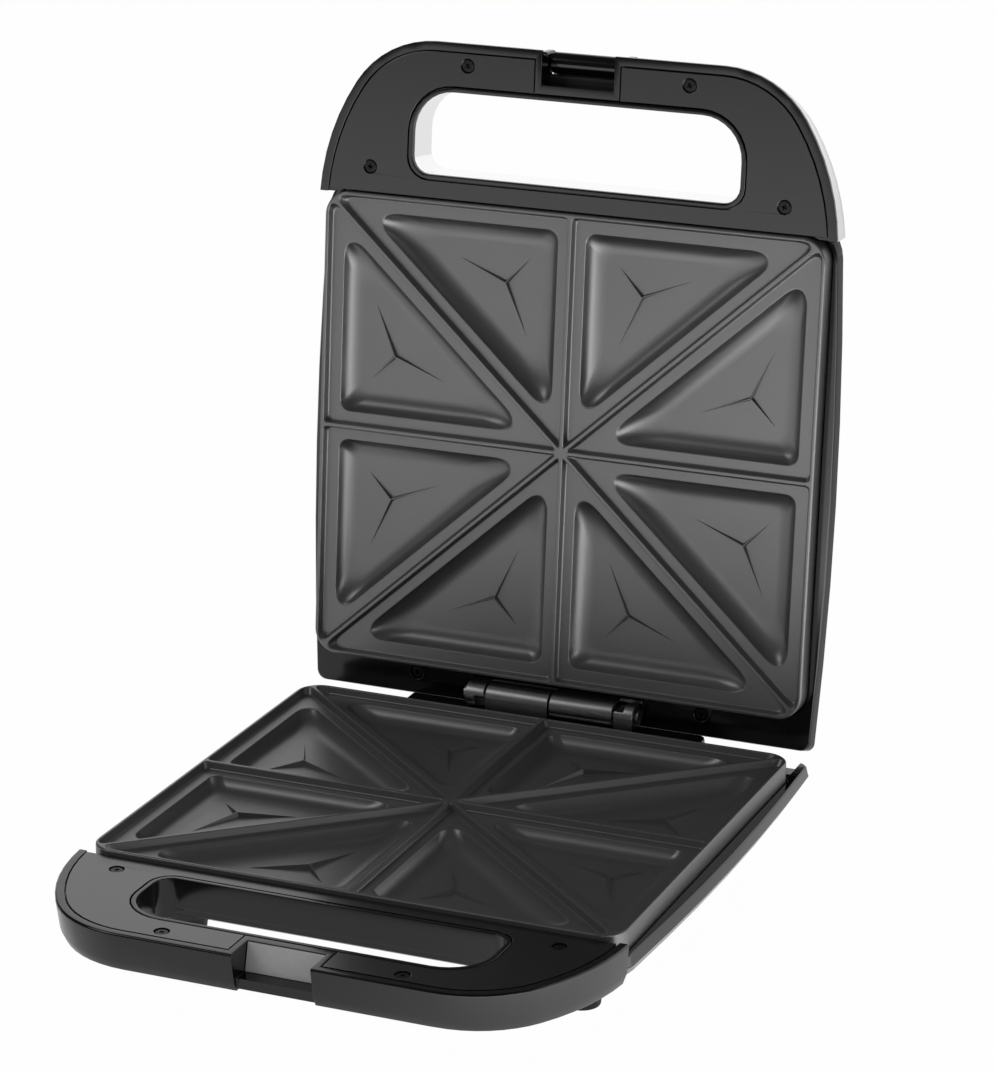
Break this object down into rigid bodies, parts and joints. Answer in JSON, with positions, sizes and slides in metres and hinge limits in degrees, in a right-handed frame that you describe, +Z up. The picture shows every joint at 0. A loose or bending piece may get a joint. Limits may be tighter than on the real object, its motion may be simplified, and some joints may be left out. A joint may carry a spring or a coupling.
{
  "type": "sandwich toaster",
  "caption": "Hinged electric sandwich toaster standing open, with triangular pockets in both cooking plates, a carrying handle moulded into each half and a swing latch on the lid",
  "frame": {"origin": "on the table, under the middle of the footprint of the open toaster", "axes": "+X along the hinge to the right of someone facing the handle, +Y from the handle to the hinge, +Z up"},
  "size_m": [0.2642, 0.3894, 0.3651],
  "materials": {
    "black_shell": "glossy moulded black",
    "black_face": "satin-gloss moulded black",
    "black_cover": "matt moulded black",
    "nonstick": "cast aluminium with a dark grey non-stick coating",
    "cover_steel": "brushed stainless sheet",
    "element": "dull heated steel tube",
    "shield": "bright rolled sheet",
    "post": "zinc-plated turned steel",
    "hinge_metal": "satin gun-metal plating",
    "screw": "black oxide",
    "rubber": "matt",
    "ceramic": "unglazed ceramic",
    "lamp_red": "clear red lens",
    "lamp_green": "clear green lens",
    "board": "coated laminate",
    "latch_black": "glossy moulded black"
  },
  "bodies": {
    "base": {"base_shell": "black_shell", "base_bottom_cover": "black_cover", "base_handle_plate": "black_face", "base_cooking_plate": "nonstick", "base_heater": "element", "base_reflector": "shield", "base_plate_posts": "post", "thermostat": "ceramic", "thermal_fuse": "ceramic", "terminal_block": "ceramic", "cord_gland": "rubber", "rubber_feet": "rubber", "base_handle_screws": "screw", "bottom_screws": "screw", "base_hinge_leaf": "hinge_metal", "hinge_pin": "post", "base_hinge_screws": "post"},
    "lid": {"lid_frame": "black_shell", "lid_cover": "cover_steel", "lid_handle_plate": "black_face", "lid_cooking_plate": "nonstick", "lid_heater": "element", "lid_reflector": "shield", "lid_plate_posts": "post", "lid_handle_screws": "screw", "lid_boss_screws": "screw", "lid_hinge_leaf": "hinge_metal", "lid_hinge_screws": "post", "power_lamp": "lamp_red", "ready_lamp": "lamp_green", "lamp_board": "board", "latch_pin": "post"},
    "latch": {"latch_clip": "latch_black"}
  },
  "joints": [
    {"name": "lid_hinge", "type": "hinge", "parent": "base", "child": "lid", "pos_m": [0, 0.11781, 0.05348], "axis": [1, 0, 0], "range_deg": [0, 94.28]},
    {"name": "latch_pivot", "type": "hinge", "parent": "lid", "child": "latch", "pos_m": [0, 0.15508, 0.35704], "axis": [1, 0, 0], "range_deg": [0, 192]}
  ]
}
